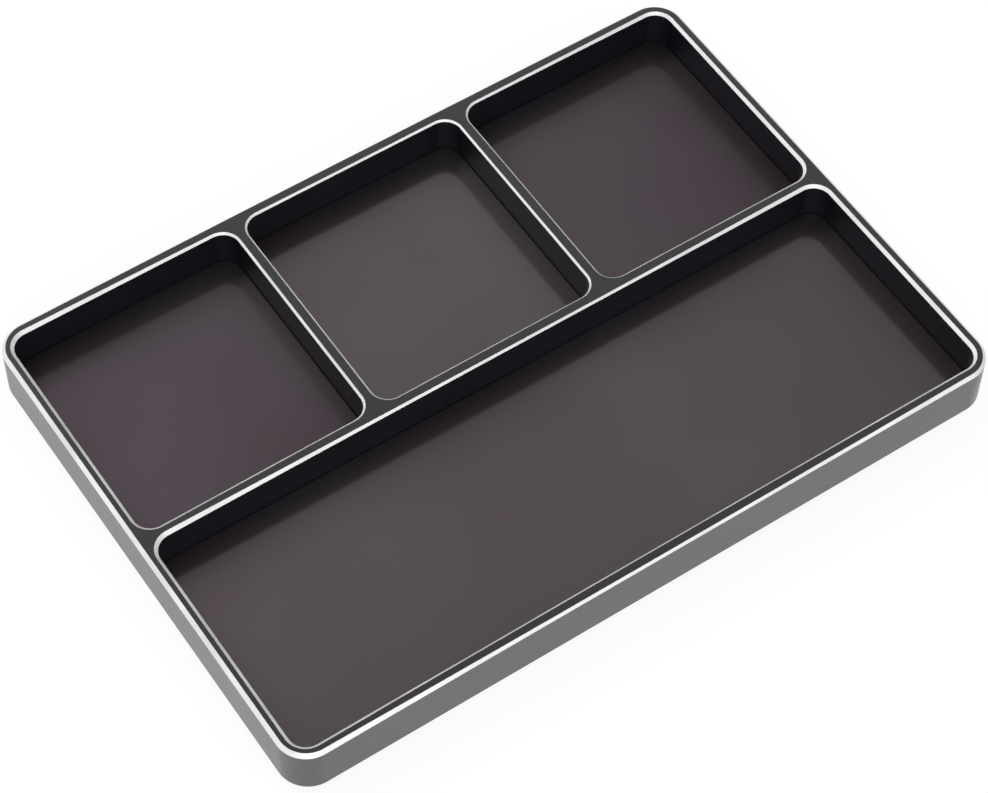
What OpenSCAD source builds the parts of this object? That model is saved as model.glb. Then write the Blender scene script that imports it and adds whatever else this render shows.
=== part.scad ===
// Magnetic parts tray: a milled metal tray with shallow compartments, each lined with a
// bonded magnetic sheet, standing on rubber feet that are let into its underside.
// The origin is on the surface that the feet stand on, under the middle of the tray.
// X runs along the long side, Y from the front row to the back row, and Z is up.

/* [Tray body] */
// Length of the tray, left to right
tray_length = 150; // [120:1:240]
// Width of the tray, front to back
tray_width = 105; // [85:1:180]
// Height of the body, from its underside to its rim
tray_height = 11; // [8:0.5:25]
// Radius of the body's upright corners
outer_corner_radius = 6; // [4:0.5:10]
// Thickness of the outer walls
wall_thickness = 2.3; // [1.8:0.1:4]
// Thickness of the walls between the compartments
divider_thickness = 2.4; // [1.8:0.1:5]
// Thickness of the metal under the compartments
floor_thickness = 1.5; // [1.2:0.1:3]
// Radius of the compartments' upright corners
compartment_corner_radius = 3.5; // [2:0.25:6]
// Width of the bright bevel round the outer top edge
outer_bevel = 0.6; // [0.2:0.05:0.8]
// Width of the bright bevel round the top of each compartment
compartment_bevel = 0.55; // [0.2:0.05:0.8]
// Width of the small bevel round the bottom edge
bottom_bevel = 0.4; // [0.1:0.05:0.8]

/* [Magnetic sheets] */
// Thickness of a magnetic sheet
sheet_thickness = 1.2; // [0.6:0.1:2]
// Gap between a sheet and the compartment wall
sheet_clearance = 0.1; // [0.05:0.05:0.6]
// Thickness of the adhesive film under a sheet
sheet_adhesive_thickness = 0.15; // [0.05:0.05:0.4]
// How far the adhesive film stops short of the sheet's edge
sheet_adhesive_inset = 0.5; // [0.1:0.1:1]

/* [Rubber feet] */
// Diameter of a foot
foot_diameter = 10; // [6:0.5:16]
// Thickness of a foot
foot_thickness = 1.8; // [1.2:0.1:4]
// Radius of the rounding round a foot's lower edge
foot_rounding = 0.5; // [0.1:0.05:0.8]
// Distance from the tray's sides to the middle of a foot
foot_inset = 12; // [10:0.5:25]
// Depth of the recess that a foot sits in
foot_recess_depth = 0.6; // [0.3:0.05:0.8]
// Gap between a foot and the wall of its recess
foot_clearance = 0.15; // [0.05:0.05:0.4]
// Thickness of the adhesive disc above a foot
foot_adhesive_thickness = 0.1; // [0.05:0.05:0.25]
// How far the adhesive disc stops short of the foot's edge
foot_adhesive_inset = 0.25; // [0.1:0.05:0.6]

/* [Hidden] */
$fn = 96;

// Length by which a cut runs past the face that it opens
cut_overrun = 0.5;

// Heights above the surface that the tray stands on
recess_roof_z = foot_thickness + foot_adhesive_thickness;
underside_z = recess_roof_z - foot_recess_depth;
floor_z = underside_z + floor_thickness;
sheet_z = floor_z + sheet_adhesive_thickness;
rim_z = underside_z + tray_height;

// Compartments: a row of equal ones at the back and one as long as that row at the front
back_count = 3;
row_length = tray_length - 2 * wall_thickness;
row_width = (tray_width - 2 * wall_thickness - divider_thickness) / 2;
column_length = (row_length - (back_count - 1) * divider_thickness) / back_count;
column_pitch = column_length + divider_thickness;
row_offset = (row_width + divider_thickness) / 2;

// Each compartment's [length, centre]
LEFT = [column_length, [-column_pitch, row_offset]];
MIDDLE = [column_length, [0, row_offset]];
RIGHT = [column_length, [column_pitch, row_offset]];
FRONT = [row_length, [0, -row_offset]];

// Each foot's centre
foot_x = tray_length / 2 - foot_inset;
foot_y = tray_width / 2 - foot_inset;
FRONT_LEFT = [-foot_x, -foot_y];
FRONT_RIGHT = [foot_x, -foot_y];
BACK_LEFT = [-foot_x, foot_y];
BACK_RIGHT = [foot_x, foot_y];

// Cross-section of a block of the given span, whose side follows the points of edge
function section(span, edge) = concat(
    [for (point = edge) [span / 2 - point[0], point[1]]],
    [for (i = [len(edge) - 1 : -1 : 0]) [edge[i][0] - span / 2, edge[i][1]]]
);

// Block with round upright corners. Its side follows edge, a list of [inset, height] points
// from the bottom to the top, and radius belongs to an inset of zero.
module round_block(length, width, radius, edge) {
    straight_x = length - 2 * radius;
    straight_y = width - 2 * radius;
    bottom = edge[0][1];
    top = edge[len(edge) - 1][1];
    corner_profile = concat([[0, bottom]], [for (point = edge) [radius - point[0], point[1]]], [[0, top]]);
    for (x = [-straight_x / 2, straight_x / 2], y = [-straight_y / 2, straight_y / 2])
        translate([x, y, 0])
            rotate_extrude()
                polygon(corner_profile);
    rotate([90, 0, 90])
        linear_extrude(straight_x, center = true)
            polygon(section(width, edge));
    rotate([90, 0, 0])
        linear_extrude(straight_y, center = true)
            polygon(section(length, edge));
}

// Flat plate that fits in a compartment, short of its walls by gap all round
module compartment_plate(compartment, gap, bottom, thickness) {
    translate(compartment[1])
        round_block(
            compartment[0] - 2 * gap,
            row_width - 2 * gap,
            compartment_corner_radius - gap,
            [[0, bottom], [0, bottom + thickness]]
        );
}

// Space that a cutter clears for a compartment, flared at the top into its bevel
module compartment_cut(compartment) {
    flare = compartment_bevel + cut_overrun;
    translate(compartment[1])
        round_block(
            compartment[0],
            row_width,
            compartment_corner_radius,
            [[0, floor_z], [0, rim_z - compartment_bevel], [-flare, rim_z + cut_overrun]]
        );
}

// Space for a foot in the underside
module foot_recess(centre) {
    translate([centre[0], centre[1], underside_z - cut_overrun])
        cylinder(h = foot_recess_depth + cut_overrun, d = foot_diameter + 2 * foot_clearance);
}

module tray_body() {
    side = [
        [bottom_bevel, underside_z],
        [0, underside_z + bottom_bevel],
        [0, rim_z - outer_bevel],
        [outer_bevel, rim_z]
    ];
    color([0.20, 0.20, 0.21])
        difference() {
            round_block(tray_length, tray_width, outer_corner_radius, side);
            for (compartment = [LEFT, MIDDLE, RIGHT, FRONT])
                compartment_cut(compartment);
            for (centre = [FRONT_LEFT, FRONT_RIGHT, BACK_LEFT, BACK_RIGHT])
                foot_recess(centre);
        }
}

module magnet_sheet(compartment) {
    color([0.31, 0.28, 0.29])
        compartment_plate(compartment, sheet_clearance, sheet_z, sheet_thickness);
}

module sheet_adhesive(compartment) {
    color([0.85, 0.84, 0.80])
        compartment_plate(
            compartment,
            sheet_clearance + sheet_adhesive_inset,
            floor_z,
            sheet_adhesive_thickness
        );
}

module rubber_foot(centre) {
    radius = foot_diameter / 2;
    color([0.08, 0.08, 0.08])
        translate(centre)
            rotate_extrude() {
                translate([0, foot_rounding])
                    square([radius, foot_thickness - foot_rounding]);
                square([radius - foot_rounding, foot_thickness]);
                translate([radius - foot_rounding, foot_rounding])
                    circle(foot_rounding);
            }
}

module foot_adhesive(centre) {
    color([0.85, 0.84, 0.80])
        translate([centre[0], centre[1], foot_thickness])
            cylinder(h = foot_adhesive_thickness, d = foot_diameter - 2 * foot_adhesive_inset);
}

tray_body();
magnet_sheet(LEFT);  // magnet_sheet_left
magnet_sheet(MIDDLE);  // magnet_sheet_middle
magnet_sheet(RIGHT);  // magnet_sheet_right
magnet_sheet(FRONT);  // magnet_sheet_front
sheet_adhesive(LEFT);  // sheet_adhesive_left
sheet_adhesive(MIDDLE);  // sheet_adhesive_middle
sheet_adhesive(RIGHT);  // sheet_adhesive_right
sheet_adhesive(FRONT);  // sheet_adhesive_front
rubber_foot(FRONT_LEFT);  // rubber_foot_front_left
rubber_foot(FRONT_RIGHT);  // rubber_foot_front_right
rubber_foot(BACK_LEFT);  // rubber_foot_back_left
rubber_foot(BACK_RIGHT);  // rubber_foot_back_right
foot_adhesive(FRONT_LEFT);  // foot_adhesive_front_left
foot_adhesive(FRONT_RIGHT);  // foot_adhesive_front_right
foot_adhesive(BACK_LEFT);  // foot_adhesive_back_left
foot_adhesive(BACK_RIGHT);  // foot_adhesive_back_right
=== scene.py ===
"""Dresses the magnetic parts tray for its studio picture.

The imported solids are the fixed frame. The milled body, the magnetic sheets and the rubber feet are
drawn again as clean meshes by Geometry Nodes, and every piece gets a procedural finish.
Lengths are in metres.
"""

import logging
import math
from dataclasses import dataclass, replace
from enum import Enum

import bmesh
import bpy
from mathutils import Matrix, Vector

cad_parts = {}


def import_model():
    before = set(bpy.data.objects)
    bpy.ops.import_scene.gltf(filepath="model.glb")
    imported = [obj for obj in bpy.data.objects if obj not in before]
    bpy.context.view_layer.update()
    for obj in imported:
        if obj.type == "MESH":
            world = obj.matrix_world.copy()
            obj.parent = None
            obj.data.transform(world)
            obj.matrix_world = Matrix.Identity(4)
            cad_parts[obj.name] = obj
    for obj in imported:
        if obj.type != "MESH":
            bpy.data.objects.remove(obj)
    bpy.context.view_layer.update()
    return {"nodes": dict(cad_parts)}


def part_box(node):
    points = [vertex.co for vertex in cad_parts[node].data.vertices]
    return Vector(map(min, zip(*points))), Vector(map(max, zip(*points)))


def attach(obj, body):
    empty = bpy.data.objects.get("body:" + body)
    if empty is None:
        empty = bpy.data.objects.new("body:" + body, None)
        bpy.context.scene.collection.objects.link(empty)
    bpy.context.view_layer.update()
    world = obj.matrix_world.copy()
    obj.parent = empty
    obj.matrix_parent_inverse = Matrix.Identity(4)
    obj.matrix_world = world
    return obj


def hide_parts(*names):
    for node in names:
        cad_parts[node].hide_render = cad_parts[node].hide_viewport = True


LOG = logging.getLogger("parts_tray")
MM = 0.001
ROOT = "root"
WHITE = (1.0, 1.0, 1.0, 1.0)

Colour = tuple[float, float, float]
Triple = tuple[float, float, float]
Range = tuple[float, float]
Node = bpy.types.Node
Socket = bpy.types.NodeSocket
Tree = bpy.types.NodeTree
Piece = bpy.types.Object
Value = Node | Socket | bpy.types.Material | tuple | float | int | bool | str
Corner = tuple[Value, Value]


class SocketKind(Enum):
    """Kinds of socket on the node groups below."""

    GEOMETRY = "NodeSocketGeometry"
    NUMBER = "NodeSocketFloat"
    COUNT = "NodeSocketInt"
    MATERIAL = "NodeSocketMaterial"
    VECTOR = "NodeSocketVector"


class Compartment(Enum):
    """Compartments of the tray, by the names of their sheets."""

    LEFT = "left"
    MIDDLE = "middle"
    RIGHT = "right"
    FRONT = "front"


class FootPlace(Enum):
    """Corners of the tray that a foot sits under."""

    FRONT_LEFT = "front_left"
    FRONT_RIGHT = "front_right"
    BACK_LEFT = "back_left"
    BACK_RIGHT = "back_right"


class Region(Enum):
    """Regions of the milled body that differ in finish, by the mark on their faces."""

    SIDE = "outer_side"
    BEVEL = "bright_bevel"
    WALL = "pocket_wall"

    def finish_input(self) -> str:
        """Return the name of the tree's input for the region's finish."""
        return f"{self.name.title()} Finish"


class NodeSketch:
    """A node tree being drawn, with short calls for its nodes, sockets and sums."""

    def __init__(self, tree: Tree) -> None:
        """Start drawing on a node tree."""
        self.tree = tree
        self.given: Node | None = None

    def node(self, kind: str, inputs: dict[str | int, Value] | None = None, **settings: Value) -> Node:
        """Add a node.

        Args:
            kind: The node's type name.
            inputs: What each named or numbered input is filled with.
            **settings: Properties of the node itself, set first.

        Returns:
            The new node.
        """
        made = self.tree.nodes.new(kind)
        for name, value in settings.items():
            setattr(made, name, value)
        for key, value in (inputs or {}).items():
            self.fill(made.inputs[key], value)
        return made

    def fill(self, socket: Socket, value: Value) -> None:
        """Link an input socket to the value given, or set it.

        Args:
            socket: The input socket.
            value: An output socket, a node for its first output, or a plain value.
        """
        if isinstance(value, Node):
            value = value.outputs[0]
        if isinstance(value, Socket):
            self.tree.links.new(value, socket)
        else:
            socket.default_value = value

    def takes(self, name: str, kind: SocketKind) -> None:
        """Add a named input to the tree."""
        self.tree.interface.new_socket(name, in_out="INPUT", socket_type=kind.value)

    def gives(self, name: str, kind: SocketKind, value: Value) -> None:
        """Add a named output to the tree and link it.

        Args:
            name: The output's name.
            kind: What the output holds.
            value: The socket or the node that feeds it.
        """
        self.tree.interface.new_socket(name, in_out="OUTPUT", socket_type=kind.value)
        ends = [node for node in self.tree.nodes if node.bl_idname == "NodeGroupOutput"]
        end = ends[0] if ends else self.tree.nodes.new("NodeGroupOutput")
        self.fill(end.inputs[name], value)

    def done(self, name: str, geometry: Value) -> Tree:
        """Give the tree its named output of geometry, and return the tree."""
        self.gives(name, SocketKind.GEOMETRY, geometry)
        return self.tree

    def size(self, name: str) -> Socket:
        """Look up one of the tree's own inputs.

        Args:
            name: The input's name.

        Returns:
            Its socket.
        """
        if self.given is None:
            self.given = self.tree.nodes.new("NodeGroupInput")
        return self.given.outputs[name]

    def sum(self, operation: str, *terms: Value) -> Socket:
        """Return the socket of what a Math node's operation makes of the terms."""
        return self.node("ShaderNodeMath", dict(enumerate(terms)), operation=operation).outputs[0]

    def mapped(self, value: Value, source: Range, target: Range = (0.0, 1.0)) -> Socket:
        """Map a number from one range to another, and hold it there.

        Args:
            value: The number.
            source: The range that it comes from.
            target: The range that it goes to.

        Returns:
            The result's socket.
        """
        limits = ("From Min", "From Max", "To Min", "To Max")
        inputs = {"Value": value} | dict(zip(limits, source + target))
        return self.node("ShaderNodeMapRange", inputs).outputs[0]

    def vector(self, x: Value = 0.0, y: Value = 0.0, z: Value = 0.0) -> Socket:
        """Return the socket of a vector with these three parts."""
        return self.node("ShaderNodeCombineXYZ", {"X": x, "Y": y, "Z": z}).outputs[0]

    def position(self) -> list[Socket]:
        """Return the sockets of the X, Y and Z of each point."""
        place = self.node("GeometryNodeInputPosition")
        return list(self.node("ShaderNodeSeparateXYZ", {"Vector": place}).outputs)

    def join(self, *parts: Value) -> Socket:
        """Put geometries together.

        Args:
            *parts: The geometries.

        Returns:
            The socket of the whole.
        """
        joined = self.node("GeometryNodeJoinGeometry")
        for part in parts:
            self.fill(joined.inputs[0], part)
        return joined.outputs[0]


def new_geometry_tree(name: str, inputs: dict[str, SocketKind]) -> NodeSketch:
    """Start a Geometry Nodes tree.

    Args:
        name: The tree's name.
        inputs: Its inputs, by name.

    Returns:
        The sketch of the new tree.
    """
    sketch = NodeSketch(bpy.data.node_groups.new(name, "GeometryNodeTree"))
    for label, kind in inputs.items():
        sketch.takes(label, kind)
    return sketch


class SweepKit:
    """Geometry Nodes groups that the tray, its sheets and its feet are drawn with."""

    WELD = 0.002 * MM
    SHARP_ANGLE = math.radians(28.0)

    def __init__(self) -> None:
        """Build the groups once."""
        self.rounded_path = self._rounded_path()
        self.swept_band = self._swept_band()
        self.level_cap = self._level_cap()
        self.finished = self._finished()

    @staticmethod
    def _rounded_path() -> Tree:
        """Draw a group that gives a rectangle with round corners, cut into short pieces.

        Returns:
            The group.
        """
        inputs = dict.fromkeys(("Length", "Width", "Corner Radius"), SocketKind.NUMBER)
        inputs |= dict.fromkeys(("Corner Steps", "Cuts"), SocketKind.COUNT)
        sketch = new_geometry_tree("rounded_path", inputs)
        square = sketch.node(
            "GeometryNodeCurvePrimitiveQuadrilateral",
            {"Width": sketch.size("Length"), "Height": sketch.size("Width")},
            mode="RECTANGLE",
        )
        rounded = sketch.node(
            "GeometryNodeFilletCurve",
            {
                "Curve": square,
                "Count": sketch.size("Corner Steps"),
                "Radius": sketch.size("Corner Radius"),
            },
            mode="POLY",
        )
        cut = sketch.node("GeometryNodeSubdivideCurve", {"Curve": rounded, "Cuts": sketch.size("Cuts")})
        return sketch.done("Path", cut)

    @staticmethod
    def _swept_band() -> Tree:
        """Draw a group that sweeps a straight profile along a level path.

        The profile's outsets and heights may change along the path.

        Returns:
            The group.
        """
        ends = ("Start Outset", "Start Height", "End Outset", "End Height")
        inputs = {"Path": SocketKind.GEOMETRY} | dict.fromkeys(ends, SocketKind.NUMBER)
        sketch = new_geometry_tree("swept_band", inputs)
        # A profile's own Y axis points down along a path that runs anticlockwise, so this one
        # stands upright from 0 to 1, and a point's height says which end of the profile it is.
        profile = sketch.node(
            "GeometryNodeCurvePrimitiveLine", {"Start": (0.0, 0.0, 0.0), "End": (0.0, -1.0, 0.0)}
        )
        upright = sketch.node(
            "GeometryNodeCurveToMesh", {"Curve": sketch.size("Path"), "Profile Curve": profile}
        )
        x, y, share = sketch.position()
        outset, height = (
            sketch.node(
                "ShaderNodeMix",
                {"Factor": share, "A": sketch.size(f"Start {name}"), "B": sketch.size(f"End {name}")},
            )
            for name in ("Outset", "Height")
        )
        # The upright band's faces look inwards.
        inward = sketch.node("GeometryNodeInputNormal")
        shift = sketch.node(
            "ShaderNodeVectorMath", {"Vector": inward, "Scale": outset}, operation="SCALE"
        )
        moved = sketch.node(
            "ShaderNodeVectorMath", {0: sketch.vector(x, y, height), 1: shift}, operation="SUBTRACT"
        )
        band = sketch.node("GeometryNodeSetPosition", {"Geometry": upright, "Position": moved})
        return sketch.done("Band", band)

    def _level_cap(self) -> Tree:
        """Draw a group that fills the open edges that lie at one level.

        Returns:
            The group.
        """
        inputs = {"Mesh": SocketKind.GEOMETRY, "Level": SocketKind.NUMBER}
        sketch = new_geometry_tree("level_cap", inputs)
        height = sketch.position()[2]
        at_level = sketch.sum("COMPARE", height, sketch.size("Level"), self.WELD)
        # An open edge has one face.
        faces = sketch.node("GeometryNodeInputMeshEdgeNeighbors")
        is_open = sketch.sum("COMPARE", faces, 1.0, 0.5)
        rim = sketch.node(
            "GeometryNodeMeshToCurve",
            {"Mesh": sketch.size("Mesh"), "Selection": sketch.sum("MULTIPLY", at_level, is_open)},
        )
        flat = sketch.node("GeometryNodeFillCurve", {"Curve": rim}, mode="NGONS")
        rise = sketch.vector(z=sketch.size("Level"))
        raised = sketch.node("GeometryNodeTransform", {"Geometry": flat, "Translation": rise})
        return sketch.done("Cap", raised)

    def _finished(self) -> Tree:
        """Draw a group that welds a mesh and shades it with crisp edges.

        Returns:
            The group.
        """
        sketch = new_geometry_tree("welded", {"Mesh": SocketKind.GEOMETRY})
        welded = sketch.node(
            "GeometryNodeMergeByDistance", {"Geometry": sketch.size("Mesh"), "Distance": self.WELD}
        )
        smooth = sketch.node("GeometryNodeSetShadeSmooth", {"Geometry": welded}, domain="FACE")
        angle = sketch.node("GeometryNodeInputMeshEdgeAngle").outputs["Unsigned Angle"]
        sharp = sketch.sum("GREATER_THAN", angle, self.SHARP_ANGLE)
        crisp = sketch.node(
            "GeometryNodeSetShadeSmooth",
            {"Geometry": smooth, "Selection": sharp, "Shade Smooth": False},
            domain="EDGE",
        )
        return sketch.done("Mesh", crisp)

    @staticmethod
    def place(sketch: NodeSketch, group: Tree, **values: Value) -> Socket:
        """Place a group, its inputs given in lower case with underscores, and return its output."""
        inputs = {name.replace("_", " ").title(): value for name, value in values.items()}
        return sketch.node("GeometryNodeGroup", inputs, node_tree=group).outputs[0]

    def outline(self, sketch: NodeSketch, length: str, width: str, radius: str, cuts: Value) -> Socket:
        """Place a rectangle with round corners in a tree.

        Args:
            sketch: The tree, with an input Corner Steps.
            length: Name of the tree's input for the length.
            width: Name of its input for the width.
            radius: Name of its input for the corners' radius.
            cuts: Number of cuts in each piece of the outline.

        Returns:
            The outline's socket.
        """
        return self.place(
            sketch,
            self.rounded_path,
            length=sketch.size(length),
            width=sketch.size(width),
            corner_radius=sketch.size(radius),
            corner_steps=sketch.size("Corner Steps"),
            cuts=cuts,
        )

    def bands(self, sketch: NodeSketch, path: Value, points: list[Corner]) -> list[Socket]:
        """Sweep a chain of bands along a path.

        Args:
            sketch: The tree that gets the bands.
            path: The path.
            points: Outset from the path and height of each corner of the chain.

        Returns:
            The sockets of the bands.
        """
        return [
            self.place(
                sketch,
                self.swept_band,
                path=path,
                start_outset=start[0],
                start_height=start[1],
                end_outset=end[0],
                end_height=end[1],
            )
            for start, end in zip(points, points[1:])
        ]

    def closed(self, sketch: NodeSketch, sides: Value, *levels: Socket) -> Socket:
        """Cap the sides at each level, weld the whole and return its socket."""
        caps = [self.place(sketch, self.level_cap, mesh=sides, level=level) for level in levels]
        return self.place(sketch, self.finished, mesh=sketch.join(sides, *caps))

    def solid(self, sketch: NodeSketch, path: Value, points: list[Corner]) -> Tree:
        """Finish the tree of a solid whose side is a chain of bands.

        Args:
            sketch: The tree, with the inputs Bottom, Top, Centre X, Centre Y and Finish.
            path: The path that the side runs along.
            points: Outset from the path and height of each corner of the chain.

        Returns:
            The tree.
        """
        sides = sketch.join(*self.bands(sketch, path, points))
        whole = self.closed(sketch, sides, sketch.size("Bottom"), sketch.size("Top"))
        centre = sketch.vector(sketch.size("Centre X"), sketch.size("Centre Y"))
        placed = sketch.node("GeometryNodeTransform", {"Geometry": whole, "Translation": centre})
        plain = sketch.node("GeometryNodeRealizeInstances", {"Geometry": placed})
        finish = sketch.size("Finish")
        dressed = sketch.node("GeometryNodeSetMaterial", {"Geometry": plain, "Material": finish})
        return sketch.done("Mesh", dressed)


def quarter_turn(steps: int) -> list[float]:
    """Return the angles from zero to a quarter turn, in equal steps."""
    return [math.pi / 2 * step / steps for step in range(steps + 1)]


def grow(name: str, tree: Tree, values: dict[str, Value], node: str) -> Piece:
    """Turn a Geometry Nodes tree into a piece with a plain mesh, in place of a node of the frame.

    Args:
        name: The piece's name.
        tree: The tree.
        values: Its inputs, by name.
        node: The node that the piece replaces.

    Returns:
        The piece, at the origin, with its place in its mesh.
    """
    piece = bpy.data.objects.new(name, bpy.data.meshes.new(name))
    bpy.context.scene.collection.objects.link(piece)
    modifier = piece.modifiers.new(tree.name, "NODES")
    modifier.node_group = tree
    for item in tree.interface.items_tree:
        if item.item_type == "SOCKET" and item.in_out == "INPUT":
            modifier[item.identifier] = values[item.name]
    graph = bpy.context.evaluated_depsgraph_get()
    mesh = bpy.data.meshes.new_from_object(piece.evaluated_get(graph), depsgraph=graph)
    piece.modifiers.remove(modifier)
    unused = piece.data
    piece.data = mesh
    bpy.data.meshes.remove(unused)
    mesh.name = name
    face_outwards(mesh)
    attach(piece, ROOT)
    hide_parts(node)
    return piece


def face_outwards(mesh: bpy.types.Mesh) -> None:
    """Turn all the faces of a closed mesh outwards.

    Args:
        mesh: The mesh.
    """
    work = bmesh.new()
    work.from_mesh(mesh)
    bmesh.ops.recalc_face_normals(work, faces=work.faces)
    work.to_mesh(mesh)
    work.free()


class SurfaceKit:
    """Shader groups for effects that several finishes share."""

    GRAIN_DETAIL = 3.0
    CLOUD_DETAIL = 2.0
    LINE_DETAIL = 2.0

    def __init__(self) -> None:
        """Build the groups once."""
        self.grain = self._grain()
        self.lines = self._lines()

    @staticmethod
    def _noise(sketch: NodeSketch, where: Value, scale: Value, detail: float) -> Socket:
        """Return the socket of a noise that the group's seed sets apart."""
        inputs = {"Vector": where, "W": sketch.size("Seed"), "Scale": scale, "Detail": detail}
        return sketch.node("ShaderNodeTexNoise", inputs, noise_dimensions="4D").outputs["Fac"]

    def _grain(self) -> Tree:
        """Draw a group with a fine grain and a broad, cloudy unevenness.

        Returns:
            The group.
        """
        sketch = NodeSketch(bpy.data.node_groups.new("surface_grain", "ShaderNodeTree"))
        for name in ("Grain Size", "Cloud Size", "Seed"):
            sketch.takes(name, SocketKind.NUMBER)
        where = sketch.node("ShaderNodeTexCoord").outputs["Object"]
        for name, detail in (("Grain", self.GRAIN_DETAIL), ("Cloud", self.CLOUD_DETAIL)):
            scale = sketch.sum("DIVIDE", 1.0, sketch.size(f"{name} Size"))
            sketch.gives(name, SocketKind.NUMBER, self._noise(sketch, where, scale, detail))
        return sketch.tree

    def _lines(self) -> Tree:
        """Draw a group with fine lines, drawn out by a size along each axis.

        Returns:
            The group.
        """
        sketch = NodeSketch(bpy.data.node_groups.new("drawn_lines", "ShaderNodeTree"))
        sketch.takes("Line Sizes", SocketKind.VECTOR)
        sketch.takes("Seed", SocketKind.NUMBER)
        where = sketch.node("ShaderNodeTexCoord").outputs["Object"]
        drawn = sketch.node(
            "ShaderNodeVectorMath", {0: where, 1: sketch.size("Line Sizes")}, operation="DIVIDE"
        )
        sketch.gives("Lines", SocketKind.NUMBER, self._noise(sketch, drawn, 1.0, self.LINE_DETAIL))
        return sketch.tree


@dataclass(frozen=True)
class Finish:
    """What every finish has: two colours that it wanders between, its gloss and its texture.

    Attributes:
        name: The material's name.
        dark: The darker colour.
        light: The lighter colour.
        roughness: The lowest and the highest roughness.
        ior: Refractive index of the surface, for its gloss.
        grain_size: Size of the fine grain.
        cloud_size: Size of the broad unevenness.
        line_sizes: Size of the drawn lines along each axis.
        line_share: Share of the lines in the texture, the rest being grain.
        relief: Height of the texture.
        seed: Number that sets the pattern apart from the others.
        metallic: 1 where light reflects as on bare metal, and 0 elsewhere.
        gloss_tint: Colour of the gloss.
        coat: The lowest and the highest weight of a smooth, clear skin over the surface.
        coat_roughness: Roughness of that skin.
        coat_ior: Refractive index of that skin.
    """

    name: str
    dark: Colour
    light: Colour
    roughness: Range
    ior: float
    grain_size: float
    cloud_size: float
    line_sizes: Triple
    line_share: float
    relief: float
    seed: float
    metallic: float = 0.0
    gloss_tint: Colour = (1.0, 1.0, 1.0)
    coat: Range = (0.0, 0.0)
    coat_roughness: float = 0.1
    coat_ior: float = 1.45

    # Share of the texture in the tone, and the ranges of noise that the looks are spread over
    TEXTURE_SHARE = 0.5
    TONE_NOISE = (0.5, 1.0)
    GLOSS_NOISE = (0.6, 1.4)
    COAT_NOISE = (0.35, 0.65)

    def material(self, kit: SurfaceKit) -> bpy.types.Material:
        """Build the material, or return the one that was built before.

        Args:
            kit: The shared shader groups.

        Returns:
            The material.
        """
        found = bpy.data.materials.get(self.name)
        if found is not None:
            return found
        made = bpy.data.materials.new(self.name)
        made.use_nodes = True
        made.node_tree.nodes.clear()
        sketch = NodeSketch(made.node_tree)
        noise = sketch.node(
            "ShaderNodeGroup",
            {"Grain Size": self.grain_size, "Cloud Size": self.cloud_size, "Seed": self.seed},
            node_tree=kit.grain,
        )
        cloud = noise.outputs["Cloud"]
        lines = sketch.node(
            "ShaderNodeGroup", {"Line Sizes": self.line_sizes, "Seed": self.seed}, node_tree=kit.lines
        )
        texture = sketch.node(
            "ShaderNodeMix", {"Factor": self.line_share, "A": noise.outputs["Grain"], "B": lines}
        )
        tone = sketch.sum("ADD", cloud, sketch.sum("MULTIPLY", texture, self.TEXTURE_SHARE))
        # A mix of colours has its factor at 0, its colours at 6 and 7, and its result at 2.
        colour = sketch.node(
            "ShaderNodeMix",
            {0: sketch.mapped(tone, self.TONE_NOISE), 6: (*self.dark, 1.0), 7: (*self.light, 1.0)},
            data_type="RGBA",
        ).outputs[2]
        gloss = sketch.sum("ADD", cloud, texture)
        bump = sketch.node(
            "ShaderNodeBump", {"Strength": 1.0, "Distance": self.relief, "Height": texture}
        )
        shader = sketch.node(
            "ShaderNodeBsdfPrincipled",
            {
                "Base Color": colour,
                "Metallic": self.metallic,
                "Roughness": sketch.mapped(gloss, self.GLOSS_NOISE, self.roughness),
                "IOR": self.ior,
                "Specular Tint": (*self.gloss_tint, 1.0),
                "Coat Weight": sketch.mapped(cloud, self.COAT_NOISE, self.coat),
                "Coat Roughness": self.coat_roughness,
                "Coat IOR": self.coat_ior,
                "Normal": bump,
            },
        )
        sketch.node("ShaderNodeOutputMaterial", {"Surface": shader})
        return made


BLACK_ANODISED = Finish(
    name="black_anodised",
    dark=(0.0006, 0.0008, 0.0014),
    light=(0.0014, 0.0017, 0.0026),
    roughness=(0.14, 0.20),
    ior=1.56,
    grain_size=0.22 * MM,
    cloud_size=14.0 * MM,
    line_sizes=(9.0 * MM, 9.0 * MM, 0.08 * MM),
    line_share=0.15,
    relief=0.0015 * MM,
    seed=1.0,
)
MILLED_WALL = replace(
    BLACK_ANODISED,
    name="milled_wall",
    dark=(0.0012, 0.0017, 0.0034),
    light=(0.0022, 0.0030, 0.0056),
    roughness=(0.38, 0.46),
    ior=1.39,
    line_share=0.3,
    seed=7.0,
)
BLASTED_SIDE = Finish(
    name="blasted_side",
    dark=(0.044, 0.040, 0.044),
    light=(0.053, 0.048, 0.054),
    roughness=(0.25, 0.33),
    ior=1.52,
    grain_size=0.35 * MM,
    cloud_size=12.0 * MM,
    line_sizes=(9.0 * MM, 9.0 * MM, 0.3 * MM),
    line_share=0.15,
    relief=0.0015 * MM,
    seed=6.0,
)
BRIGHT_CUT = Finish(
    name="bright_cut_bevel",
    dark=(0.53, 0.53, 0.53),
    light=(0.69, 0.69, 0.69),
    roughness=(0.52, 0.68),
    metallic=1.0,
    ior=1.45,
    grain_size=0.15 * MM,
    cloud_size=9.0 * MM,
    line_sizes=(7.0 * MM, 7.0 * MM, 0.05 * MM),
    line_share=0.8,
    relief=0.003 * MM,
    seed=2.0,
)
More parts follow.
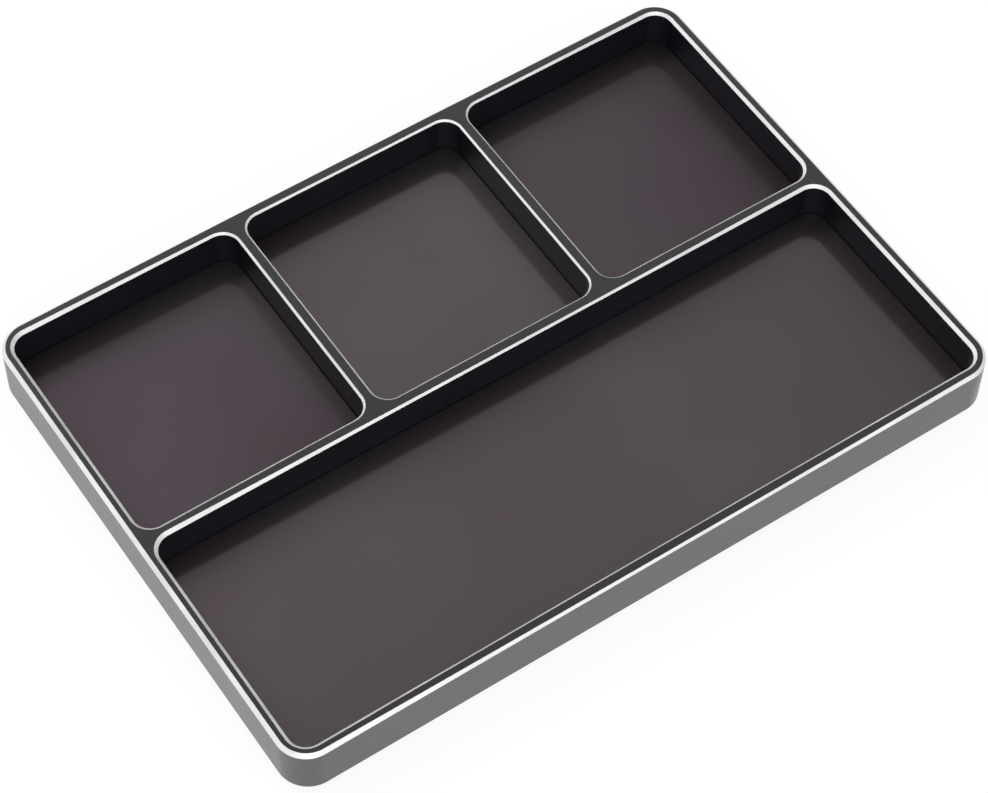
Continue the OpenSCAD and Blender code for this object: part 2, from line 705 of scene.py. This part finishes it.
FERRITE_SHEET = Finish(
    name="ferrite_sheet",
    dark=(0.0008, 0.0002, 0.0004),
    light=(0.0020, 0.0058, 0.0046),
    roughness=(0.46, 0.52),
    ior=1.56,
    grain_size=0.30 * MM,
    cloud_size=50.0 * MM,
    line_sizes=(30.0 * MM, 0.7 * MM, 30.0 * MM),
    line_share=0.35,
    relief=0.0006 * MM,
    seed=877.5,
    gloss_tint=(1.0, 0.69, 0.89),
    coat=(0.61, 0.80),
    coat_roughness=0.12,
    coat_ior=1.56,
)
DULL_SHEET = replace(FERRITE_SHEET, name="dull_ferrite_sheet", seed=886.5, coat=(0.16, 0.40))
MOULDED_RUBBER = Finish(
    name="moulded_rubber",
    dark=(0.012, 0.012, 0.012),
    light=(0.022, 0.022, 0.022),
    roughness=(0.55, 0.75),
    ior=1.5,
    grain_size=0.18 * MM,
    cloud_size=4.0 * MM,
    line_sizes=(2.0 * MM, 2.0 * MM, 2.0 * MM),
    line_share=0.1,
    relief=0.01 * MM,
    seed=4.0,
)
ADHESIVE_FILM = Finish(
    name="adhesive_film",
    dark=(0.60, 0.57, 0.48),
    light=(0.72, 0.70, 0.62),
    roughness=(0.35, 0.55),
    ior=1.47,
    grain_size=0.4 * MM,
    cloud_size=6.0 * MM,
    line_sizes=(12.0 * MM, 0.5 * MM, 12.0 * MM),
    line_share=0.3,
    relief=0.004 * MM,
    seed=5.0,
)


def centre_of(low: Vector, high: Vector) -> dict[str, Value]:
    """Return a tree's centre inputs for a box."""
    return {"Centre X": (low.x + high.x) / 2, "Centre Y": (low.y + high.y) / 2}


@dataclass
class TrayBody:
    """The milled tray, with its compartments, bevels and recesses for the feet.

    Attributes:
        sweeps: The groups that it is drawn with.
        outer_radius: Radius of the upright outer corners.
        pocket_radius: Radius of the compartments' upright corners.
        outer_bevel: Width of the bright bevel round the outside, where it is narrowest.
        pocket_bevel: Width of the bright bevel round a compartment, where it is narrowest.
        bevel_spread: How much wider the bevels are at half the tray's length from there.
        bevel_middle: Place along the tray where the bevels are narrowest.
        bevel_lean: How much narrower the bevels are at the back than in the middle of the width.
        bottom_bevel: Width of the bevel round the underside.
        sheet_clearance: Gap between a sheet and the compartment's wall.
        foot_clearance: Gap between a foot and its recess.
        columns: Number of short compartments in the back row.
        corner_steps: Number of points on a round corner.
        cuts: Number of cuts in each piece of an outline.
    """

    sweeps: SweepKit
    outer_radius: float = 6.0 * MM
    pocket_radius: float = 3.5 * MM
    outer_bevel: float = 0.38 * MM
    pocket_bevel: float = 0.36 * MM
    bevel_spread: float = 0.27 * MM
    bevel_middle: float = 8.0 * MM
    bevel_lean: float = 0.03 * MM
    bottom_bevel: float = 0.4 * MM
    sheet_clearance: float = 0.1 * MM
    foot_clearance: float = 0.15 * MM
    columns: int = 3
    corner_steps: int = 20
    cuts: int = 5

    FINISHES = {Region.SIDE: BLASTED_SIDE, Region.BEVEL: BRIGHT_CUT, Region.WALL: MILLED_WALL}
    # Points round a recess, for each point on a round corner
    RING_STEPS = 3.0

    def sizes(self) -> dict[str, Value]:
        """Work out the tree's sizes from the frame.

        Returns:
            The sizes, by the names of the tree's inputs.
        """
        low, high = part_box("tray_body")
        row_low, row_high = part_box("magnet_sheet_front")
        column_low, column_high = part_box("magnet_sheet_middle")
        right_low, right_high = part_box("magnet_sheet_right")
        foot_low, foot_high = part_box("rubber_foot_back_right")
        room = 2 * self.sheet_clearance
        return {
            "Length": high.x - low.x,
            "Width": high.y - low.y,
            "Outer Radius": self.outer_radius,
            "Underside": low.z,
            "Rim": high.z,
            "Floor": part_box("sheet_adhesive_front")[0].z,
            "Outer Bevel": self.outer_bevel,
            "Pocket Bevel": self.pocket_bevel,
            "Bevel Spread": self.bevel_spread,
            "Bevel Middle": self.bevel_middle,
            "Bevel Lean": self.bevel_lean,
            "Bottom Bevel": self.bottom_bevel,
            "Pocket Radius": self.pocket_radius,
            "Row Length": row_high.x - row_low.x + room,
            "Row Width": row_high.y - row_low.y + room,
            "Row Offset": (column_low.y + column_high.y) / 2,
            "Column Length": column_high.x - column_low.x + room,
            "Column Pitch": (right_low.x + right_high.x) / 2,
            "Recess Radius": (foot_high.x - foot_low.x) / 2 + self.foot_clearance,
            "Recess Roof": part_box("foot_adhesive_back_right")[1].z,
            "Feet Length": foot_low.x + foot_high.x,
            "Feet Width": foot_low.y + foot_high.y,
            "Corner Steps": self.corner_steps,
            "Cuts": self.cuts,
        }

    def tree(self) -> Tree:
        """Draw the tree that makes the body.

        Returns:
            The tree.
        """
        inputs = dict.fromkeys(self.sizes(), SocketKind.NUMBER)
        inputs |= dict.fromkeys(("Corner Steps", "Cuts"), SocketKind.COUNT)
        inputs["Body Finish"] = SocketKind.MATERIAL
        inputs |= {region.finish_input(): SocketKind.MATERIAL for region in Region}
        sketch = new_geometry_tree("milled_tray", inputs)
        faces = sketch.join(self._outside(sketch), self._pockets(sketch), self._recesses(sketch))
        sides = sketch.node("GeometryNodeRealizeInstances", {"Geometry": faces})
        levels = [sketch.size(name) for name in ("Underside", "Recess Roof", "Floor", "Rim")]
        whole = self.sweeps.closed(sketch, sides, *levels)
        return sketch.done("Mesh", self._dressed(sketch, whole))

    @staticmethod
    def _bevel_width(sketch: NodeSketch, least: str) -> Socket:
        """Work out a bevel's width, which grows towards the ends and the front of the tray.

        Args:
            sketch: The body's tree.
            least: Name of the tree's input for the least width.

        Returns:
            The width's socket.
        """
        x, y, _ = sketch.position()
        reach = sketch.sum("SUBTRACT", x, sketch.size("Bevel Middle"))
        along = sketch.sum("DIVIDE", reach, sketch.sum("MULTIPLY", sketch.size("Length"), 0.5))
        across = sketch.sum("DIVIDE", y, sketch.sum("MULTIPLY", sketch.size("Width"), 0.5))
        gain = sketch.sum("MULTIPLY", sketch.sum("POWER", along, 2.0), sketch.size("Bevel Spread"))
        loss = sketch.sum("MULTIPLY", across, sketch.size("Bevel Lean"))
        return sketch.sum("ADD", sketch.size(least), sketch.sum("SUBTRACT", gain, loss))

    def _swept(
        self, sketch: NodeSketch, path: Value, points: list[Corner], regions: tuple[Region, ...]
    ) -> Socket:
        """Sweep bands along a path, each with the mark of its region.

        Args:
            sketch: The body's tree.
            path: The path.
            points: Outset from the path and height of each corner of the chain.
            regions: The bands' regions.

        Returns:
            The socket of the marked bands.
        """
        marked = [
            sketch.node(
                "GeometryNodeStoreNamedAttribute",
                {"Geometry": band, "Name": region.value, "Value": True},
                data_type="BOOLEAN",
                domain="FACE",
            )
            for band, region in zip(self.sweeps.bands(sketch, path, points), regions)
        ]
        return sketch.join(*marked)

    def _outside(self, sketch: NodeSketch) -> Socket:
        """Sweep the outer wall and its two bevels.

        Args:
            sketch: The body's tree.

        Returns:
            The socket of their faces.
        """
        rim = sketch.size("Rim")
        underside = sketch.size("Underside")
        ease = sketch.size("Bottom Bevel")
        bevel = self._bevel_width(sketch, "Outer Bevel")
        points = [
            (sketch.sum("MULTIPLY", ease, -1.0), underside),
            (0.0, sketch.sum("ADD", underside, ease)),
            (0.0, sketch.sum("SUBTRACT", rim, bevel)),
            (sketch.sum("MULTIPLY", bevel, -1.0), rim),
        ]
        path = self.sweeps.outline(sketch, "Length", "Width", "Outer Radius", sketch.size("Cuts"))
        return self._swept(sketch, path, points, (Region.SIDE, Region.SIDE, Region.BEVEL))

    def _pockets(self, sketch: NodeSketch) -> Socket:
        """Sweep the walls and bevels of all the compartments.

        Args:
            sketch: The body's tree.

        Returns:
            The socket of their faces.
        """
        rim = sketch.size("Rim")
        bevel = self._bevel_width(sketch, "Pocket Bevel")
        shoulder = sketch.sum("SUBTRACT", rim, bevel)
        points = [(bevel, rim), (0.0, shoulder), (0.0, sketch.size("Floor"))]
        return self._swept(sketch, self._pocket_paths(sketch), points, (Region.BEVEL, Region.WALL))

    def _pocket_paths(self, sketch: NodeSketch) -> Socket:
        """Place the outlines of the row of short compartments and of the long one.

        Args:
            sketch: The body's tree.

        Returns:
            The socket of the outlines.
        """
        back = sketch.size("Row Offset")
        pitch = sketch.size("Column Pitch")
        cuts = sketch.size("Cuts")
        places = sketch.node(
            "GeometryNodeMeshLine",
            {
                "Count": self.columns,
                "Start Location": sketch.vector(sketch.sum("MULTIPLY", pitch, -1.0), back),
                "Offset": sketch.vector(pitch),
            },
        )
        short = self.sweeps.outline(sketch, "Column Length", "Row Width", "Pocket Radius", cuts)
        row = sketch.node("GeometryNodeInstanceOnPoints", {"Points": places, "Instance": short})
        placed = sketch.node("GeometryNodeRealizeInstances", {"Geometry": row})
        long = self.sweeps.outline(sketch, "Row Length", "Row Width", "Pocket Radius", cuts)
        shift = sketch.vector(y=sketch.sum("MULTIPLY", back, -1.0))
        front = sketch.node("GeometryNodeTransform", {"Geometry": long, "Translation": shift})
        return sketch.join(placed, front)

    def _recesses(self, sketch: NodeSketch) -> Node:
        """Place the four round recesses for the feet.

        Args:
            sketch: The body's tree.

        Returns:
            The node of their walls.
        """
        ring = sketch.node(
            "GeometryNodeCurvePrimitiveCircle",
            {
                "Resolution": sketch.sum("MULTIPLY", sketch.size("Corner Steps"), self.RING_STEPS),
                "Radius": sketch.size("Recess Radius"),
            },
        )
        points = [(0.0, sketch.size("Underside")), (0.0, sketch.size("Recess Roof"))]
        (wall,) = self.sweeps.bands(sketch, ring, points)
        corners = sketch.node(
            "GeometryNodeMeshGrid",
            {
                "Size X": sketch.size("Feet Length"),
                "Size Y": sketch.size("Feet Width"),
                "Vertices X": 2,
                "Vertices Y": 2,
            },
        )
        return sketch.node("GeometryNodeInstanceOnPoints", {"Points": corners, "Instance": wall})

    @staticmethod
    def _dressed(sketch: NodeSketch, whole: Socket) -> Node:
        """Give each region its finish.

        Args:
            sketch: The body's tree.
            whole: The socket of the closed mesh.

        Returns:
            The node of the dressed mesh.
        """
        plain = sketch.node("GeometryNodeRealizeInstances", {"Geometry": whole})
        finish = sketch.size("Body Finish")
        dressed = sketch.node("GeometryNodeSetMaterial", {"Geometry": plain, "Material": finish})
        for region in Region:
            mark = sketch.node(
                "GeometryNodeInputNamedAttribute", {"Name": region.value}, data_type="BOOLEAN"
            )
            dressed = sketch.node(
                "GeometryNodeSetMaterial",
                {
                    "Geometry": dressed,
                    "Selection": mark.outputs["Attribute"],
                    "Material": sketch.size(region.finish_input()),
                },
            )
        return dressed

    def build(self, kit: SurfaceKit) -> list[Piece]:
        """Make the piece.

        Args:
            kit: The shared shader groups.

        Returns:
            The finished piece, alone in a list.
        """
        values = self.sizes() | {"Body Finish": BLACK_ANODISED.material(kit)}
        for region, finish in self.FINISHES.items():
            values[region.finish_input()] = finish.material(kit)
        return [grow("milled_tray", self.tree(), values, "tray_body")]


@dataclass
class MagnetSheets:
    """The flexible magnetic sheets on the compartments' floors.

    Attributes:
        sweeps: The groups that they are drawn with.
        corner_radius: Radius of a sheet's corners.
        edge_reach: How far a sheet's edge spreads into the gap round its solid.
        edge_ease: Radius of the rounding along a sheet's top edge.
        corner_steps: Number of points on a round corner.
        ease_steps: Number of strips in the rounding.
    """

    sweeps: SweepKit
    corner_radius: float = 3.48 * MM
    edge_reach: float = 0.08 * MM
    edge_ease: float = 0.15 * MM
    corner_steps: int = 16
    ease_steps: int = 4

    NUMBERS = ("Length", "Width", "Corner Radius", "Bottom", "Top", "Edge Ease", "Centre X", "Centre Y")
    FINISHES = {
        Compartment.LEFT: DULL_SHEET,
        Compartment.MIDDLE: FERRITE_SHEET,
        Compartment.RIGHT: DULL_SHEET,
        Compartment.FRONT: FERRITE_SHEET,
    }

    def tree(self) -> Tree:
        """Draw the tree that makes one sheet.

        Returns:
            The tree.
        """
        inputs = dict.fromkeys(self.NUMBERS, SocketKind.NUMBER)
        inputs |= {"Corner Steps": SocketKind.COUNT, "Finish": SocketKind.MATERIAL}
        sketch = new_geometry_tree("bonded_sheet", inputs)
        ease = sketch.size("Edge Ease")
        points = [(0.0, sketch.size("Bottom"))]
        for turn in quarter_turn(self.ease_steps):
            outset = sketch.sum("MULTIPLY", ease, math.cos(turn) - 1.0)
            drop = sketch.sum("MULTIPLY", ease, math.sin(turn) - 1.0)
            points.append((outset, sketch.sum("ADD", sketch.size("Top"), drop)))
        path = self.sweeps.outline(sketch, "Length", "Width", "Corner Radius", cuts=0)
        return self.sweeps.solid(sketch, path, points)

    def build(self, kit: SurfaceKit) -> list[Piece]:
        """Make the pieces.

        Args:
            kit: The shared shader groups.

        Returns:
            The finished pieces.
        """
        tree = self.tree()
        pieces = []
        for compartment in Compartment:
            node = f"magnet_sheet_{compartment.value}"
            low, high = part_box(node)
            values = {
                "Length": high.x - low.x + 2 * self.edge_reach,
                "Width": high.y - low.y + 2 * self.edge_reach,
                "Corner Radius": self.corner_radius,
                "Bottom": low.z,
                "Top": high.z,
                "Edge Ease": self.edge_ease,
                **centre_of(low, high),
                "Corner Steps": self.corner_steps,
                "Finish": self.FINISHES[compartment].material(kit),
            }
            name = f"ferrite_sheet_{compartment.value}"
            pieces.append(grow(name, tree, values, node))
        return pieces


@dataclass
class RubberFeet:
    """The round rubber feet under the corners.

    Attributes:
        sweeps: The groups that they are drawn with.
        rounding: Radius of the rounding round the lower edge.
        ring_steps: Number of points round a foot.
        rounding_steps: Number of strips in the rounding.
    """

    sweeps: SweepKit
    rounding: float = 0.5 * MM
    ring_steps: int = 64
    rounding_steps: int = 5

    NUMBERS = ("Radius", "Bottom", "Top", "Rounding", "Centre X", "Centre Y")

    def tree(self) -> Tree:
        """Draw the tree that makes one foot.

        Returns:
            The tree.
        """
        inputs = dict.fromkeys(self.NUMBERS, SocketKind.NUMBER)
        inputs |= {"Ring Steps": SocketKind.COUNT, "Finish": SocketKind.MATERIAL}
        sketch = new_geometry_tree("moulded_foot", inputs)
        rounding = sketch.size("Rounding")
        points = []
        for turn in quarter_turn(self.rounding_steps):
            outset = sketch.sum("MULTIPLY", rounding, math.sin(turn) - 1.0)
            rise = sketch.sum("MULTIPLY", rounding, 1.0 - math.cos(turn))
            points.append((outset, sketch.sum("ADD", sketch.size("Bottom"), rise)))
        points.append((0.0, sketch.size("Top")))
        ring = sketch.node(
            "GeometryNodeCurvePrimitiveCircle",
            {"Resolution": sketch.size("Ring Steps"), "Radius": sketch.size("Radius")},
        )
        return self.sweeps.solid(sketch, ring, points)

    def build(self, kit: SurfaceKit) -> list[Piece]:
        """Make the pieces.

        Args:
            kit: The shared shader groups.

        Returns:
            The finished pieces.
        """
        tree = self.tree()
        pieces = []
        for place in FootPlace:
            node = f"rubber_foot_{place.value}"
            low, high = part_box(node)
            values = {
                "Radius": (high.x - low.x) / 2,
                "Bottom": low.z,
                "Top": high.z,
                "Rounding": self.rounding,
                **centre_of(low, high),
                "Ring Steps": self.ring_steps,
                "Finish": MOULDED_RUBBER.material(kit),
            }
            name = f"moulded_foot_{place.value}"
            pieces.append(grow(name, tree, values, node))
        return pieces


@dataclass
class AdhesiveFilms:
    """The films that bond the sheets and the feet, kept as the frame has them.

    Attributes:
        nodes: The frame's objects, by node.
    """

    nodes: dict[str, Piece]

    def dress(self, kit: SurfaceKit) -> list[Piece]:
        """Give every film its finish.

        Args:
            kit: The shared shader groups.

        Returns:
            The dressed films.
        """
        films = [self.nodes[name] for name in sorted(self.nodes) if "adhesive" in name]
        for film in films:
            film.material_slots[0].material = ADHESIVE_FILM.material(kit)
        return films


@dataclass(frozen=True)
class Lamp:
    """A round soft lamp that faces the tray.

    Attributes:
        name: The lamp's name.
        power: Its power, in watts.
        size: Its width.
        place: Its place.
    """

    name: str
    power: float
    size: float
    place: Triple

    def build(self) -> None:
        """Make the lamp and turn it to the tray."""
        lamp = bpy.data.lights.new(self.name, "AREA")
        lamp.shape = "DISK"
        lamp.size = self.size
        lamp.energy = self.power
        stand = bpy.data.objects.new(self.name, lamp)
        stand.location = self.place
        stand.rotation_euler = (-Vector(self.place)).to_track_quat("-Z", "Y").to_euler()
        bpy.context.scene.collection.objects.link(stand)


KEY_LAMP = Lamp(name="soft_key", power=4.8, size=1.2, place=(-0.06, -1.02, 0.62))
BACK_LAMP = Lamp(name="soft_back", power=3.0, size=0.6, place=(-0.20, 0.72, 0.66))
FILL_LAMP = Lamp(name="soft_fill", power=2.2, size=0.7, place=(-0.51, -0.74, 0.62))


@dataclass
class Studio:
    """A white table under soft light, and the camera at the photograph's angle.

    Attributes:
        target: The point at the middle of the picture.
        distance: Distance from the camera to that point.
        azimuth: Angle of the camera round the tray, in degrees from the front.
        elevation: Angle of the camera above the table, in degrees.
        roll: Tilt of the picture, in degrees.
        lens: Focal length in millimetres on the sensor below.
        sensor: Width of the sensor in millimetres.
        near_clip: Nearest distance at which the camera sees.
        table_size: Width of the table.
        table_colour: Colour of the table.
        table_glow: Share of plain white in the table as the camera sees it, the rest showing shadows.
        sky: Strength of the even light from all round.
        ring: Strength of the surround near the horizon, as gloss shows it.
        dimming: How much weaker it is overhead, where it is dimmest.
        dim_place: Direction of the dimmest place.
        dim_fade: How quickly the dimming fades away from there.
        lamps: The lamps in front, behind and on the camera's side.
    """

    target: Triple = (-1.49 * MM, -2.27 * MM, 1.30 * MM)
    distance: float = 574.32 * MM
    azimuth: float = -34.77
    elevation: float = 55.67
    roll: float = 1.155
    lens: float = 113.99
    sensor: float = 36.0
    near_clip: float = 10.0 * MM
    table_size: float = 8.0
    table_colour: Colour = (0.97, 0.97, 0.97)
    table_glow: float = 0.86
    sky: float = 0.8
    ring: float = 1.53
    dimming: float = 1.2
    dim_place: Triple = (0.2, -0.2, 0.96)
    dim_fade: float = 3.0
    lamps: tuple[Lamp, ...] = (KEY_LAMP, BACK_LAMP, FILL_LAMP)

    def build(self) -> None:
        """Make the table, the light and the camera."""
        self._table()
        self._sky()
        for lamp in self.lamps:
            lamp.build()
        self._camera()

    @staticmethod
    def _sees(sketch: NodeSketch, rays: dict[str, float]) -> Value:
        """Find the largest share among the kinds of ray that arrive.

        Args:
            sketch: The tree that gets the nodes.
            rays: A share for each of these Light Path outputs.

        Returns:
            The share's socket.
        """
        path = sketch.node("ShaderNodeLightPath")
        total: Value = 0.0
        for name, share in rays.items():
            total = sketch.sum("MAXIMUM", total, sketch.sum("MULTIPLY", path.outputs[name], share))
        return total

    def _table(self) -> None:
        """Make the table, which shines plain white in reflections and keeps the tray's shadow."""
        half = self.table_size / 2
        corners = [(-half, -half, 0.0), (half, -half, 0.0), (half, half, 0.0), (-half, half, 0.0)]
        mesh = bpy.data.meshes.new("table")
        mesh.from_pydata(corners, [], [range(len(corners))])
        table = bpy.data.objects.new("table", mesh)
        bpy.context.scene.collection.objects.link(table)
        paint = bpy.data.materials.new("white_table")
        paint.use_nodes = True
        paint.node_tree.nodes.clear()
        sketch = NodeSketch(paint.node_tree)
        matte = sketch.node("ShaderNodeBsdfDiffuse", {"Color": (*self.table_colour, 1.0)})
        white = sketch.node("ShaderNodeEmission", {"Color": WHITE, "Strength": 1.0})
        rays = {"Is Camera Ray": self.table_glow, "Is Glossy Ray": 1.0, "Is Transmission Ray": 1.0}
        mixed = sketch.node("ShaderNodeMixShader", {0: self._sees(sketch, rays), 1: matte, 2: white})
        sketch.node("ShaderNodeOutputMaterial", {"Surface": mixed})
        mesh.materials.append(paint)

    def _sky(self) -> None:
        """Make the white light all round, which gloss shows dimmer overhead."""
        world = bpy.data.worlds.new("white_surround")
        world.use_nodes = True
        world.node_tree.nodes.clear()
        sketch = NodeSketch(world.node_tree)
        soft = sketch.node("ShaderNodeBackground", {"Color": WHITE, "Strength": self.sky})
        where = sketch.node("ShaderNodeTexCoord").outputs["Generated"]
        near = sketch.node(
            "ShaderNodeVectorMath", {0: where, 1: self.dim_place}, operation="DOT_PRODUCT"
        ).outputs["Value"]
        dimmed = sketch.sum("POWER", sketch.sum("MAXIMUM", near, 0.0), self.dim_fade)
        gloss = sketch.sum("SUBTRACT", self.ring, sketch.sum("MULTIPLY", dimmed, self.dimming))
        glossy = self._sees(sketch, {"Is Glossy Ray": 1.0})
        strength = sketch.node("ShaderNodeMix", {"Factor": glossy, "A": 1.0, "B": gloss})
        white = sketch.node("ShaderNodeBackground", {"Color": WHITE, "Strength": strength})
        rays = dict.fromkeys(("Is Camera Ray", "Is Glossy Ray", "Is Transmission Ray"), 1.0)
        mixed = sketch.node("ShaderNodeMixShader", {0: self._sees(sketch, rays), 1: soft, 2: white})
        sketch.node("ShaderNodeOutputWorld", {"Surface": mixed})
        bpy.context.scene.world = world

    def _camera(self) -> None:
        """Make the camera and turn it to the target."""
        around = math.radians(self.azimuth)
        above = math.radians(self.elevation)
        back = Vector(
            (math.cos(above) * math.sin(around), -math.cos(above) * math.cos(around), math.sin(above))
        )
        level = Vector((0.0, 0.0, 1.0)).cross(back).normalized()
        upright = back.cross(level)
        tilt = math.radians(self.roll)
        right = level * math.cos(tilt) + upright * math.sin(tilt)
        up = upright * math.cos(tilt) - level * math.sin(tilt)
        optics = bpy.data.cameras.new("camera")
        optics.sensor_fit = "HORIZONTAL"
        optics.sensor_width = self.sensor
        optics.lens = self.lens
        optics.clip_start = self.near_clip
        camera = bpy.data.objects.new("camera", optics)
        camera.matrix_world = Matrix.Translation(Vector(self.target) + back * self.distance) @ (
            Matrix((right, up, back)).transposed().to_4x4()
        )
        bpy.context.scene.collection.objects.link(camera)
        bpy.context.scene.camera = camera


def main() -> None:
    """Load the frame, set up the studio, build the tray's pieces in order and report them."""
    logging.basicConfig(level=logging.INFO, format="%(message)s")
    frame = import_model()
    bpy.context.scene.view_settings.view_transform = "Standard"
    Studio().build()
    sweeps = SweepKit()
    surfaces = SurfaceKit()
    pieces = TrayBody(sweeps).build(surfaces)
    pieces += MagnetSheets(sweeps).build(surfaces)
    pieces += RubberFeet(sweeps).build(surfaces)
    pieces += AdhesiveFilms(frame["nodes"]).dress(surfaces)
    for piece in pieces:
        LOG.info("%s has %d faces", piece.name, len(piece.data.polygons))


if __name__ == "__main__":
    main()
